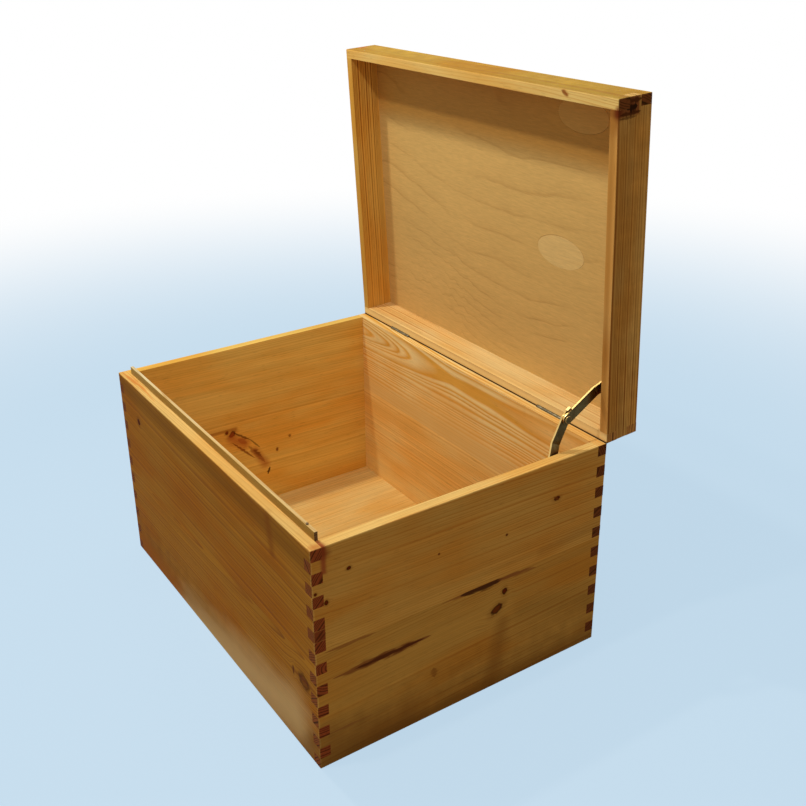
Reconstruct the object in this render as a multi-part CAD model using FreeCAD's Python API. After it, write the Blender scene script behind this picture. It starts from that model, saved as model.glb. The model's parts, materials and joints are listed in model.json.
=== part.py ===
"""Pine tool chest: finger-jointed boards, framed lid on two butt hinges, folding brass stay.

Millimetres. X runs along the length, -Y is the front, +Y the back, +Z up. The lid is modelled shut
and then swung open about the hinge line. The finished pieces are moved together so that the origin
lies under the middle of the open chest, on the surface that the chest stands on.
"""
import FreeCAD
import Part
import math
import os

V = FreeCAD.Vector
upright, lengthwise, outward, forwards = V(0, 0, 1), V(0, 1, 0), V(1, 0, 0), V(0, -1, 0)

# ---- Driving dimensions -------------------------------------------------------------------------

# Chest
box_length = 400.0
box_depth = 300.0
box_height = 210.0
board_thickness = 10.0
box_fingers = 20                # per corner, front and back boards own the topmost
edge_ease = 0.8                 # rounding of the outer arrises
front_glue_line = 101.0         # height of the joint between the two staves of each board
back_glue_line = 121.0
left_glue_line = 116.5
right_glue_line = 114.5

# Bottom panel, held in a groove
bottom_thickness = 5.0
bottom_lift = 8.0               # underside of the panel above the ground
bottom_groove = 5.0             # depth of the groove
bottom_play = 0.5               # room left for the panel to swell, each side

# Dust lip inside the front board
lip_thickness = 3.0
lip_rise = 7.5                  # above the rim
lip_drop = 22.0                 # below the rim
lip_end_play = 0.5
lip_pins = 5
lip_pin_radius = 0.6
lip_pin_length = 8.0
lip_pin_head_radius = 1.2
lip_pin_head_height = 0.4
lip_pin_inset = 18.0            # first and last pin from the ends of the lip
lip_pin_drop = 11.0             # below the rim
top_pin_inset = 13.0            # the one pin in the lip's top edge, from its right end
top_pin_head_height = 1.1

# Lid
lid_depth = 36.0
lid_lip_play = 1.0              # between the lid's front rail and the dust lip
lid_fingers = 3
lid_gap = 0.5                   # between the rims when shut
lid_open_angle = 87.0
lid_panel_thickness = 5.0
rebate_lip = 4.0                # rail left standing outside the panel
lid_panel_play = 0.2
patch_length = 62.0             # oval veneer repairs in the panel's inner face
patch_width = 30.0
patch_depth = 1.0
patch_play = 0.1
patch_middle_right = 102.0      # first repair's centre, right of the lid's middle
patch_middle_back = 5.0         # and towards the hinges
patch_corner_end = 72.0         # second repair's centre, from the right end
patch_corner_front = 28.0       # and from the front edge

# Butt hinges, let in flush with the outer back faces
hinge_inset = 75.0              # centre of each hinge from the end of the chest
hinge_line_inset = 0.6          # hinge line inside the outer back face
hinge_length = 34.0
hinge_leaf_width = 8.0
hinge_leaf_thickness = 1.0
hinge_knuckles = 5
hinge_knuckle_radius = 1.6
hinge_knuckle_gap = 0.2
hinge_pin_radius = 0.7
hinge_pin_head_radius = 1.1
hinge_pin_head_height = 0.5
hinge_screw_inset = 5.0         # outer screws from the leaf's ends
hinge_screw_setback = 4.8       # screws from the hinge line
hinge_screws = 3

# Countersunk screws, used by the hinges and the stay
screw_head_radius = 1.8
screw_shank_radius = 1.0
screw_tip_radius = 0.3
screw_length = 8.0
screw_tip_length = 2.5
screw_slot_width = 0.45
screw_slot_depth = 0.4
screw_sink = 0.05               # head below the metal's face

# Folding stay, at the right-hand end; its pivots are given with the lid open
stay_foot_setback = 65.0        # pivot on the chest, from the outer back face
stay_foot_drop = 30.0           # and below the rim
stay_elbow_setback = 36.5
stay_elbow_rise = 28.6          # above the chest's rim
stay_head_setback = 62.0        # pivot on the lid, along the shut lid
stay_panel_play = 0.5           # between the lid's stay plate and the panel
stay_width = 10.0
stay_thickness = 1.8
stay_foot_eye_radius = 6.0
stay_foot_slack = 2.4           # the foot's eye is this much wider than its stud, all round
stay_upper_joggle = 2.1         # sideways set of the upper arm towards the lid's rail
stay_upper_joggle_start = 36.0  # from the elbow
stay_upper_joggle_run = 9.0
stay_lower_joggle_start = 24.0
stay_lower_joggle_run = 11.0
stay_bend_radius = 2.0
stay_plate_length = 34.0
stay_plate_width = 12.0
stay_plate_thickness = 1.2
stay_plate_screw_spacing = 23.0
stay_rivet_radius = 1.5
stay_rivet_head_radius = 3.3
stay_stud_head_radius = 5.3
stay_head_height = 0.9
stay_head_round = 0.4
stop_start = 4.0                # the stop's place along the upper arm, from the elbow
stop_end = 8.5
stop_height = 2.0               # how far it stands over the upper arm's edge
stop_hook = 0.9                 # how far it reaches across that edge

# Clearances
running_fit = 0.05              # radial, pins and rivets in their eyes
slip_fit = 0.1                  # round the leaves in their beds
stay_gap = 0.3                  # between the stay's plates and arms
knuckle_room = 0.2              # round the knuckles, in the wood and between the leaves

# ---- Derived places -----------------------------------------------------------------------------

half_length = box_length / 2
half_depth = box_depth / 2
lid_rail_thickness = board_thickness - lid_lip_play
hinge_z = box_height + lid_gap / 2
lid_base = box_height + lid_gap
lid_top = lid_base + lid_depth
lid_ceiling = lid_top - lid_panel_thickness
axis_point = V(0, half_depth - hinge_line_inset, hinge_z)


def lid_swing(shape):
    """Turns a lid piece, modelled shut, to where it stands with the lid open."""
    return shape.rotate(axis_point, V(1, 0, 0), -lid_open_angle)


def lid_point_open(y, z):
    """Where a point of the shut lid goes when the lid is open, as (y, z)."""
    angle = math.radians(lid_open_angle)
    back, up = y - axis_point.y, z - axis_point.z
    return (axis_point.y + back * math.cos(angle) + up * math.sin(angle),
            axis_point.z - back * math.sin(angle) + up * math.cos(angle))


# ---- Plain shapes -------------------------------------------------------------------------------

def block(x0, x1, y0, y1, z0, z1):
    return Part.makeBox(x1 - x0, y1 - y0, z1 - z0, V(x0, y0, z0))


def rod(radius, start, end):
    """A cylinder from one point to another."""
    return Part.makeCylinder(radius, (end - start).Length, start, end - start)


def domed_disc(radius, height, start, direction):
    """A rivet head: flat on start, its far edge rounded over."""
    disc = Part.makeCylinder(radius, height, start, direction)
    far = start + V(direction).normalize() * height
    rims = [e for e in disc.Edges if e.Curve.TypeId == "Part::GeomCircle" and
            (e.Curve.Center - far).Length < height / 10]
    return disc.makeFillet(min(stay_head_round, height * 0.6), rims)


def row(count, first, last):
    """Evenly spaced positions from first to last."""
    if count == 1:
        return [(first + last) / 2]
    return [first + (last - first) * i / (count - 1) for i in range(count)]


def save(name, shape, middle):
    """Writes one node, moved so that the middle of the open chest comes to the origin."""
    shape.translate(V(0, -middle, 0))
    shape.exportStep("parts/%s.step" % name)


# ---- Screws -------------------------------------------------------------------------------------

def screw_form(extra):
    """Countersunk screw with its head's face at the origin, driven along -Z.

    extra widens it all round, which gives the hole that it fits.
    """
    head_height = screw_head_radius - screw_shank_radius
    straight = screw_length - head_height - screw_tip_length
    points = [(0, 0), (screw_head_radius, 0), (screw_shank_radius, -head_height),
              (screw_shank_radius, -head_height - straight), (screw_tip_radius, -screw_length),
              (0, -screw_length)]
    outline = [V(r + extra if r else 0, 0, z) for r, z in points]
    outline[-1].z -= extra
    outline[-2].z -= extra
    face = Part.Face(Part.makePolygon(outline + [outline[0]]))
    return face.revolve(V(0, 0, 0), V(0, 0, 1), 360)


def aimed(shape, place, direction):
    """Turns a shape that points along -Z to a direction, and moves it to a place."""
    shape.Placement = FreeCAD.Placement(place, FreeCAD.Rotation(V(0, 0, -1), direction))
    return shape


def screw(place, direction):
    """A wood screw whose slotted head lies just under the face at place."""
    body = screw_form(0)
    slot = block(-screw_head_radius, screw_head_radius, -screw_slot_width / 2, screw_slot_width / 2,
                 -screw_slot_depth, screw_slot_depth)
    return aimed(body.cut(slot), place + V(direction) * screw_sink, direction)


def screw_hole(place, direction):
    """What a screw takes out of the metal and the wood, open up to the face."""
    mouth = Part.makeCylinder(screw_head_radius + running_fit, 2 * screw_sink, V(0, 0, 0))
    return aimed(screw_form(running_fit).fuse(mouth), place + V(direction) * screw_sink, direction)


# ---- Finger-jointed frames ----------------------------------------------------------------------

def jointed_frame(base, height, thickness, fingers):
    """Four boards joined by fingers: front, back, left, right.

    The corner fingers are counted from the top and go in turn to the front or back board and
    to the side board.
    """
    outside = block(-half_length, half_length, -half_depth, half_depth, base, base + height)
    outside = outside.makeFillet(edge_ease, outside.Edges)
    inner_x, inner_y = half_length - thickness, half_depth - thickness
    pitch = height / fingers
    long_fingers, side_fingers = [], []
    for i in range(fingers):
        top = base + height - i * pitch
        owner = long_fingers if i % 2 == 0 else side_fingers
        for x0, x1 in ((-half_length, -inner_x), (inner_x, half_length)):
            for y0, y1 in ((-half_depth, -inner_y), (inner_y, half_depth)):
                owner.append(block(x0, x1, y0, y1, top - pitch, top))
    long_corners = Part.makeCompound(long_fingers)
    side_corners = Part.makeCompound(side_fingers)
    front = block(-half_length, half_length, -half_depth, -inner_y, base, base + height)
    back = block(-half_length, half_length, inner_y, half_depth, base, base + height)
    left = block(-half_length, -inner_x, -half_depth, half_depth, base, base + height)
    right = block(inner_x, half_length, -half_depth, half_depth, base, base + height)
    return [front.cut(side_corners).common(outside), back.cut(side_corners).common(outside),
            left.cut(long_corners).common(outside), right.cut(long_corners).common(outside)]


def staves(board, glue_line):
    """A board ripped along its glue line: lower stave, upper stave."""
    reach = box_length + box_depth
    lower = block(-reach, reach, -reach, reach, 0, glue_line)
    upper = block(-reach, reach, -reach, reach, glue_line, box_height)
    return board.common(lower), board.common(upper)


# ---- Chest --------------------------------------------------------------------------------------

def bottom_panel():
    reach = bottom_groove - bottom_play
    x = half_length - board_thickness + reach
    y = half_depth - board_thickness + reach
    return block(-x, x, -y, y, bottom_lift, bottom_lift + bottom_thickness)


def bottom_groove_cut():
    x = half_length - board_thickness + bottom_groove
    y = half_depth - board_thickness + bottom_groove
    return block(-x, x, -y, y, bottom_lift, bottom_lift + bottom_thickness)


lip_half_length = half_length - board_thickness - lip_end_play
lip_front = -half_depth + board_thickness
lip_back = lip_front + lip_thickness
lip_top = box_height + lip_rise


def dust_lip():
    return block(-lip_half_length, lip_half_length, lip_front, lip_back,
                 box_height - lip_drop, lip_top)


def lip_pin_places():
    """Head seats of the pins on the lip's inner face."""
    end = lip_half_length - lip_pin_inset
    return [V(x, lip_back, box_height - lip_pin_drop) for x in row(lip_pins, -end, end)]


def top_pin_place():
    return V(lip_half_length - top_pin_inset, (lip_front + lip_back) / 2, lip_top)


def panel_pin(place, direction, head_height):
    shank = rod(lip_pin_radius, place, place + direction * lip_pin_length)
    head = domed_disc(lip_pin_head_radius, head_height, place, direction * -1)
    return shank.fuse(head).removeSplitter()


def lip_pin_solids():
    pins = [panel_pin(p, V(0, -1, 0), lip_pin_head_height) for p in lip_pin_places()]
    pins.append(panel_pin(top_pin_place(), V(0, 0, -1), top_pin_head_height))
    return pins


def lip_pin_holes():
    radius = lip_pin_radius + running_fit
    depth = lip_pin_length + running_fit
    holes = [rod(radius, p, p + V(0, -depth, 0)) for p in lip_pin_places()]
    holes.append(rod(radius, top_pin_place(), top_pin_place() + V(0, 0, -depth)))
    return Part.makeCompound(holes)


# ---- Hinges -------------------------------------------------------------------------------------

def knuckle_spans(owned_by_chest):
    """The knuckles of one leaf along the hinge line, ends included."""
    pitch = hinge_length / hinge_knuckles
    spans = []
    for i in range(hinge_knuckles):
        if (i % 2 == 0) == owned_by_chest:
            start = -hinge_length / 2 + i * pitch
            low = start + (hinge_knuckle_gap / 2 if i else 0)
            high = start + pitch - (hinge_knuckle_gap / 2 if i < hinge_knuckles - 1 else 0)
            spans.append((low, high))
    return spans


def hinge_screw_places(side):
    """Screw seats on one leaf, about the hinge line; side is -1 on the chest, 1 on the lid."""
    end = hinge_length / 2 - hinge_screw_inset
    return [V(x, hinge_line_inset, side * hinge_screw_setback) for x in row(hinge_screws, -end, end)]


def hinge_screw_holes(side):
    return Part.makeCompound([screw_hole(p, forwards) for p in hinge_screw_places(side)])


def hinge_leaf(side):
    """One leaf about the hinge line, with the lid shut and its knuckles bored for the pin."""
    half, reach = hinge_length / 2, side * hinge_leaf_width
    leaf = block(-half, half, hinge_line_inset - hinge_leaf_thickness, hinge_line_inset,
                 min(0, reach), max(0, reach))
    corners = [e for e in leaf.Edges if e.BoundBox.YLength > hinge_leaf_thickness / 2 and
               abs(e.CenterOfMass.z) > hinge_leaf_width / 2]
    leaf = leaf.makeFillet(hinge_leaf_thickness, corners)
    beside = V(hinge_knuckle_gap, 0, 0)
    for x0, x1 in knuckle_spans(side > 0):
        low, high = V(x0, 0, 0) - beside, V(x1, 0, 0) + beside
        leaf = leaf.cut(rod(hinge_knuckle_radius + knuckle_room, low, high))
    for x0, x1 in knuckle_spans(side < 0):
        leaf = leaf.fuse(rod(hinge_knuckle_radius, V(x0, 0, 0), V(x1, 0, 0)))
    end = V(hinge_length, 0, 0)
    leaf = leaf.cut(rod(hinge_pin_radius + running_fit, end * -1, end)).removeSplitter()
    return leaf.cut(hinge_screw_holes(side))


def hinge_pin():
    """Pin with a small head at each end, tight against the outer knuckles."""
    end = hinge_length / 2
    pin = rod(hinge_pin_radius, V(-end, 0, 0), V(end, 0, 0))
    for sign in (-1, 1):
        outer = V(sign * end, 0, 0)
        pin = pin.fuse(domed_disc(hinge_pin_head_radius, hinge_pin_head_height, outer, V(sign, 0, 0)))
    return pin.removeSplitter()


def hinge_mortise(side):
    """What one hinge takes out of the wood: the leaf's bed, the knuckles' hollow, the screw holes."""
    x, reach = hinge_length / 2 + slip_fit, side * (hinge_leaf_width + slip_fit)
    bed = block(-x, x, hinge_line_inset - hinge_leaf_thickness, 2 * hinge_line_inset,
                min(0, reach), max(0, reach))
    hollow_end = V(hinge_length / 2 + hinge_pin_head_height + knuckle_room, 0, 0)
    hollow = rod(hinge_knuckle_radius + knuckle_room, hollow_end * -1, hollow_end)
    return Part.makeCompound([bed, hollow, hinge_screw_holes(side)])


def at_hinge(shape, sign):
    """Moves a shape made about the hinge line to the left (-1) or right (1) hinge."""
    moved = shape.copy()
    moved.translate(V(sign * (half_length - hinge_inset), 0, 0) + axis_point)
    return moved


# ---- Folding stay -------------------------------------------------------------------------------

foot = (half_depth - stay_foot_setback, box_height - stay_foot_drop)
elbow = (half_depth - stay_elbow_setback, box_height + stay_elbow_rise)
head_shut = (half_depth - stay_head_setback, lid_ceiling - stay_panel_play - stay_plate_width / 2)
head_open = lid_point_open(*head_shut)

chest_wall_x = half_length - board_thickness
lid_wall_x = half_length - lid_rail_thickness
head_end_x = lid_wall_x - stay_plate_thickness - stay_gap - stay_thickness
upper_arm_x = head_end_x - stay_upper_joggle
lower_arm_x = upper_arm_x - stay_gap - stay_thickness
foot_end_x = chest_wall_x - stay_plate_thickness - stay_gap - stay_thickness


def in_arm_frame(shape, x, end):
    """Lays a shape made flat (along, across, thick) on the line from the elbow to end."""
    along = V(0, end[0] - elbow[0], end[1] - elbow[1]).normalize()
    across = V(0, -along.z, along.y)
    turn = FreeCAD.Matrix(0, 0, 1, x,
                          along.y, across.y, 0, elbow[0],
                          along.z, across.z, 0, elbow[1],
                          0, 0, 0, 1)
    shape.Placement = FreeCAD.Placement(turn)
    return shape


def reach_to(end):
    return math.hypot(end[0] - elbow[0], end[1] - elbow[1])


def joggled_strip(length, start, run, shift, width):
    """A strip with a sideways set, from its side view: along X, thick in Z, wide in Y."""
    before, after = -2 * stay_width, length + 2 * stay_width
    low = [(before, 0), (start, 0), (start + run, shift), (after, shift)]
    high = [(s, z + stay_thickness) for s, z in reversed(low)]
    outline = [V(s, -width / 2, z) for s, z in low + high]
    strip = Part.Face(Part.makePolygon(outline + [outline[0]])).extrude(V(0, width, 0))
    bends = [e for e in strip.Edges if e.BoundBox.YLength > width / 2 and
             before + stay_bend_radius < e.BoundBox.XMin < after - stay_bend_radius]
    return strip.makeFillet(stay_bend_radius, bends)


def arm(length, start, run, shift, far_eye, far_hole, tail=None):
    """A stay arm, made flat: an eye at the elbow, a joggled strip and an eye at the far end."""
    thick = 4 * stay_thickness + abs(shift)
    low = -stay_thickness
    plan = block(0, length, -stay_width / 2, stay_width / 2, low, low + thick)
    plan = plan.fuse(Part.makeCylinder(stay_width / 2, thick, V(0, 0, low)))
    plan = plan.fuse(Part.makeCylinder(far_eye, thick, V(length, 0, low)))
    if tail:
        outline = [V(s, n, low) for s, n in tail]
        plan = plan.fuse(Part.Face(Part.makePolygon(outline + [outline[0]])).extrude(V(0, 0, thick)))
    strip = joggled_strip(length, start, run, shift, 2 * stay_width)
    bores = Part.makeCompound([
        Part.makeCylinder(stay_rivet_radius + running_fit, thick, V(0, 0, low)),
        Part.makeCylinder(far_hole, thick, V(length, 0, low))])
    return strip.common(plan).cut(bores).removeSplitter()


def upper_arm():
    length = reach_to(head_open)
    made = arm(length, stay_upper_joggle_start, stay_upper_joggle_run, stay_upper_joggle,
               stay_width / 2, stay_rivet_radius + running_fit)
    return in_arm_frame(made, upper_arm_x, head_open)


def stop_point(along, off_edge):
    """A point by the open upper arm's top edge, as the lower arm's (along, across)."""
    up_arm = math.atan2(head_open[1] - elbow[1], head_open[0] - elbow[0])
    low_arm = math.atan2(foot[1] - elbow[1], foot[0] - elbow[0])
    turn = up_arm - low_arm
    across = stay_width / 2 + off_edge
    return (along * math.cos(turn) - across * math.sin(turn),
            along * math.sin(turn) + across * math.cos(turn))


def lower_arm():
    """The lower arm, with an ear behind the elbow whose hooked edge stops the upper arm."""
    length = reach_to(foot)
    ear = [stop_point(0, 0), stop_point(stop_start, stop_height), stop_point(stop_end, stop_height),
           stop_point(stop_end, 0), stop_point(0, -stay_width / 2)]
    made = arm(length, stay_lower_joggle_start, stay_lower_joggle_run, foot_end_x - lower_arm_x,
               stay_foot_eye_radius, stay_rivet_radius + stay_foot_slack, ear)
    hook = [stop_point(stop_start, stay_gap), stop_point(stop_start, stop_height),
            stop_point(stop_end, stop_height), stop_point(stop_end, stay_gap)]
    outline = [V(s, n, 0) for s, n in hook]
    depth = stay_thickness + stay_gap + stop_hook
    made = made.fuse(Part.Face(Part.makePolygon(outline + [outline[0]])).extrude(V(0, 0, depth)))
    return in_arm_frame(made.removeSplitter(), lower_arm_x, foot)


def elbow_rivet():
    """Fast in the upper arm, it turns in the lower arm's eye."""
    y, z = elbow
    outer = upper_arm_x + stay_thickness
    inner = lower_arm_x - 2 * running_fit
    rivet = rod(stay_rivet_radius, V(inner, y, z), V(outer, y, z))
    rivet = rivet.fuse(domed_disc(stay_rivet_head_radius, stay_head_height, V(outer, y, z), V(1, 0, 0)))
    rivet = rivet.fuse(domed_disc(stay_rivet_head_radius, stay_head_height, V(inner, y, z), V(-1, 0, 0)))
    return rivet.removeSplitter()


def wall_pivot(wall_x, arm_x, place, head_radius):
    """A pivot standing on a wall, through its plate and the arm's eye, with a domed head."""
    y, z = place
    inner = arm_x - 2 * running_fit
    pivot = rod(stay_rivet_radius, V(inner, y, z), V(wall_x, y, z))
    head = domed_disc(head_radius, stay_head_height, V(inner, y, z), V(-1, 0, 0))
    return pivot.fuse(head).removeSplitter()


def plate_screw_places(wall_x, place, run):
    """Screw seats on a stay plate; run is the plate's long direction."""
    centre = V(wall_x - stay_plate_thickness, place[0], place[1])
    return [centre + run * (sign * stay_plate_screw_spacing / 2) for sign in (-1, 1)]


def stay_plate(wall_x, place, run):
    """A round-ended plate on a wall, bored for the pivot and two screws."""
    front, y, z = wall_x - stay_plate_thickness, place[0], place[1]
    half, radius = stay_plate_length / 2 - stay_plate_width / 2, stay_plate_width / 2
    across = V(0, -run.z, run.y)
    corners = [run * (a * half) + across * (b * radius) for a, b in ((-1, -1), (1, -1), (1, 1), (-1, 1))]
    outline = [V(front, y, z) + c for c in corners]
    plate = Part.Face(Part.makePolygon(outline + [outline[0]])).extrude(V(stay_plate_thickness, 0, 0))
    for sign in (-1, 1):
        end = V(front, y, z) + run * (sign * half)
        plate = plate.fuse(Part.makeCylinder(radius, stay_plate_thickness, end, V(1, 0, 0)))
    bore = rod(stay_rivet_radius + running_fit, V(front, y, z), V(wall_x, y, z))
    holes = [screw_hole(p, V(1, 0, 0)) for p in plate_screw_places(wall_x, place, run)]
    return plate.removeSplitter().cut(Part.makeCompound([bore] + holes))


# ---- The whole chest ----------------------------------------------------------------------------

os.makedirs("parts", exist_ok=True)

front_rail, back_rail, left_rail, right_rail = jointed_frame(
    lid_base, lid_depth, lid_rail_thickness, lid_fingers)

# The lid's bed for its panel, and the panel with its two veneer repairs
bed_x, bed_y = half_length - rebate_lip, half_depth - rebate_lip
panel_bed = block(-bed_x, bed_x, -bed_y, bed_y, lid_ceiling, lid_top)
panel_x, panel_y = bed_x - lid_panel_play, bed_y - lid_panel_play
panel = block(-panel_x, panel_x, -panel_y, panel_y, lid_ceiling, lid_top)


def oval(x, y, play):
    """A veneer repair let into the panel's inner face."""
    curve = Part.Ellipse(V(x, y, lid_ceiling), patch_length / 2 - play, patch_width / 2 - play)
    return Part.Face(Part.Wire(curve.toShape())).extrude(V(0, 0, patch_depth))


patches = [(patch_middle_right, patch_middle_back),
           (half_length - patch_corner_end, patch_corner_front - half_depth)]
panel = panel.cut(Part.makeCompound([oval(x, y, 0) for x, y in patches]))
patch_solids = [oval(x, y, patch_play) for x, y in patches]

lid_hinge_cuts = Part.makeCompound([at_hinge(hinge_mortise(1), sign) for sign in (-1, 1)])
lid_plate_holes = Part.makeCompound([
    screw_hole(p, outward) for p in plate_screw_places(lid_wall_x, head_shut, lengthwise)])

lid_pieces = {
    "lid_front_rail": front_rail.cut(panel_bed),
    "lid_back_rail": back_rail.cut(panel_bed).cut(lid_hinge_cuts),
    "lid_left_rail": left_rail.cut(panel_bed),
    "lid_right_rail": right_rail.cut(panel_bed).cut(lid_plate_holes),
    "lid_panel": panel,
    "lid_panel_patches": Part.makeCompound(patch_solids),
    "hinge_left_lid_leaf": at_hinge(hinge_leaf(1), -1),
    "hinge_right_lid_leaf": at_hinge(hinge_leaf(1), 1),
    "hinge_lid_screws": Part.makeCompound([
        at_hinge(screw(p, forwards), sign) for sign in (-1, 1) for p in hinge_screw_places(1)]),
    "stay_lid_plate": stay_plate(lid_wall_x, head_shut, lengthwise),
    "stay_lid_plate_screws": Part.makeCompound([
        screw(p, outward) for p in plate_screw_places(lid_wall_x, head_shut, lengthwise)]),
    "stay_head_rivet": wall_pivot(lid_wall_x, head_end_x, head_shut, stay_rivet_head_radius),
}
for shape in lid_pieces.values():
    lid_swing(shape)

front, back, left, right = [board.cut(bottom_groove_cut()) for board in jointed_frame(
    0, box_height, board_thickness, box_fingers)]
front_lower, front_upper = staves(front, front_glue_line)
back_lower, back_upper = staves(back, back_glue_line)
left_lower, left_upper = staves(left, left_glue_line)
right_lower, right_upper = staves(right, right_glue_line)

chest_hinge_cuts = Part.makeCompound([at_hinge(hinge_mortise(-1), sign) for sign in (-1, 1)])
chest_plate_holes = Part.makeCompound([
    screw_hole(p, outward) for p in plate_screw_places(chest_wall_x, foot, upright)])

chest_pieces = {
    "front_board_lower": front_lower,
    "front_board_upper": front_upper.cut(lip_pin_holes()),
    "back_board_lower": back_lower,
    "back_board_upper": back_upper.cut(chest_hinge_cuts),
    "left_board_lower": left_lower,
    "left_board_upper": left_upper,
    "right_board_lower": right_lower,
    "right_board_upper": right_upper.cut(chest_plate_holes),
    "bottom_panel": bottom_panel(),
    "dust_lip": dust_lip().cut(lip_pin_holes()),
    "dust_lip_pins": Part.makeCompound(lip_pin_solids()),
    "hinge_left_chest_leaf": at_hinge(hinge_leaf(-1), -1),
    "hinge_right_chest_leaf": at_hinge(hinge_leaf(-1), 1),
    "hinge_left_pin": at_hinge(hinge_pin(), -1),
    "hinge_right_pin": at_hinge(hinge_pin(), 1),
    "hinge_chest_screws": Part.makeCompound([
        at_hinge(screw(p, forwards), sign) for sign in (-1, 1) for p in hinge_screw_places(-1)]),
    "stay_chest_plate": stay_plate(chest_wall_x, foot, upright),
    "stay_chest_plate_screws": Part.makeCompound([
        screw(p, outward) for p in plate_screw_places(chest_wall_x, foot, upright)]),
    "stay_foot_stud": wall_pivot(chest_wall_x, foot_end_x, foot, stay_stud_head_radius),
}

stay_pieces = {
    "stay_upper_arm": upper_arm(),
    "stay_elbow_rivet": elbow_rivet(),
    "stay_lower_arm": lower_arm(),
}

# The open lid stands out behind the chest, so the middle of the whole lies behind the chest's own
rearmost = max(shape.BoundBox.YMax for shape in lid_pieces.values())
mid_y = (rearmost - half_depth) / 2

for pieces in (chest_pieces, lid_pieces, stay_pieces):
    for name, shape in pieces.items():
        save(name, shape, mid_y)

print("origin lies %.4f behind the chest's middle" % mid_y)
print("hinge line y %.4f z %.4f" % (axis_point.y - mid_y, axis_point.z))
print("elbow y %.4f z %.4f" % (elbow[0] - mid_y, elbow[1]))
print("lid pivot y %.4f z %.4f" % (head_open[0] - mid_y, head_open[1]))
print("foot pivot y %.4f z %.4f" % (foot[0] - mid_y, foot[1]))
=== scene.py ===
import bpy
import bmesh
import json
import math
from mathutils import Matrix, Vector


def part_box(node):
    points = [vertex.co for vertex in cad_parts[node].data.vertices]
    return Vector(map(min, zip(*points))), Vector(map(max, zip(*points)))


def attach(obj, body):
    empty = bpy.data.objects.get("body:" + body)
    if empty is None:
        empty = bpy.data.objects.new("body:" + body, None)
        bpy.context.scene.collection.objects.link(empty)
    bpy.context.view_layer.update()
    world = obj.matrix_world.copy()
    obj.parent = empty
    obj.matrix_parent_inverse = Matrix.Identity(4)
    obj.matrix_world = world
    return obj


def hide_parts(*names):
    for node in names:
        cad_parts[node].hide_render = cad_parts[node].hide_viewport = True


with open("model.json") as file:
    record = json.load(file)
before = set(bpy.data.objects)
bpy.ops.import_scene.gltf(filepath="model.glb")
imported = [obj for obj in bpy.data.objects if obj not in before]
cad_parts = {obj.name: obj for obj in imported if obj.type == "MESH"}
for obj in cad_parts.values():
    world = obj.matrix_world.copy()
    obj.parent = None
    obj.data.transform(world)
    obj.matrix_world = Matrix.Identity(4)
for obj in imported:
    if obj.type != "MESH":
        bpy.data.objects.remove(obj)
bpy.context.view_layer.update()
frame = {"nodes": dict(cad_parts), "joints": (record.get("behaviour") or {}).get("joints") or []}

mm = 0.001


# ---- Camera, floor and lamps --------------------------------------------------------------------
# The chest stands on a pale sweep that fades to white around it. Two small softboxes hang over its
# front edge, and the white room fills the shadows.

picture_width = 806
focal_pixels = 1048.6
principal_point = (394.4, 369.3)
camera_from_middle = Vector((0.781803, -0.456076, 0.642441))
camera_azimuth = math.radians(56.652)
camera_elevation = math.radians(23.647)
camera_roll = math.radians(-0.709)
chest_front, chest_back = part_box("front_board_lower")[0].y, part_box("back_board_lower")[1].y
chest_middle = (chest_front + chest_back) / 2


def new_object(name, data):
    """An object in the scene."""
    thing = bpy.data.objects.new(name, data)
    bpy.context.scene.collection.objects.link(thing)
    return thing


camera = new_object("camera", bpy.data.cameras.new("camera"))
camera.data.sensor_fit = "HORIZONTAL"
camera.data.lens = camera.data.sensor_width * focal_pixels / picture_width
camera.data.shift_x = (picture_width / 2 - principal_point[0]) / picture_width
camera.data.shift_y = (principal_point[1] - picture_width / 2) / picture_width
camera.data.clip_start = 0.05
camera_turn = (Matrix.Rotation(camera_azimuth, 4, "Z") @
               Matrix.Rotation(math.pi / 2 - camera_elevation, 4, "X") @
               Matrix.Rotation(camera_roll, 4, "Z"))
camera.matrix_world = Matrix.Translation(camera_from_middle + Vector((0, chest_middle, 0))) @ camera_turn
bpy.context.scene.camera = camera


def add(tree, kind, inputs=None, **settings):
    """A node with its settings, and its inputs linked or set."""
    node = tree.nodes.new(kind)
    for name, value in settings.items():
        setattr(node, name, value)
    for name, value in (inputs or {}).items():
        if isinstance(value, bpy.types.NodeSocket):
            tree.links.new(value, node.inputs[name])
        else:
            node.inputs[name].default_value = value
    return node


def tree_of(values):
    """The node tree that holds the first linked value."""
    return next(value.id_data for value in values if isinstance(value, bpy.types.NodeSocket))


def calc(operation, *values, clamp=False):
    """The result of a Math node."""
    return add(tree_of(values), "ShaderNodeMath", dict(enumerate(values)), operation=operation,
               use_clamp=clamp).outputs[0]


def times(first, *others):
    for value in others:
        first = calc("MULTIPLY", first, value)
    return first


def plus(first, *others):
    for value in others:
        first = calc("ADD", first, value)
    return first


def vector_calc(operation, *values):
    """The result of a Vector Math node: a number for a length or a dot product, else a vector."""
    node = add(tree_of(values), "ShaderNodeVectorMath", dict(enumerate(values)), operation=operation)
    return node.outputs["Value" if operation in ("LENGTH", "DISTANCE", "DOT_PRODUCT") else "Vector"]


def ranged(value, low, high, start=0.0, stop=1.0, kind="LINEAR"):
    """A value that runs from low to high while the given one runs from start to stop."""
    return add(value.id_data, "ShaderNodeMapRange", {
        "Value": value, "From Min": start, "From Max": stop, "To Min": low, "To Max": high},
        interpolation_type=kind).outputs["Result"]


def smooth_step(value, low, high):
    """0 at low, 1 at high and smooth between them; low may be the larger."""
    return ranged(value, 0.0, 1.0, low, high, "SMOOTHSTEP")


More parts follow.
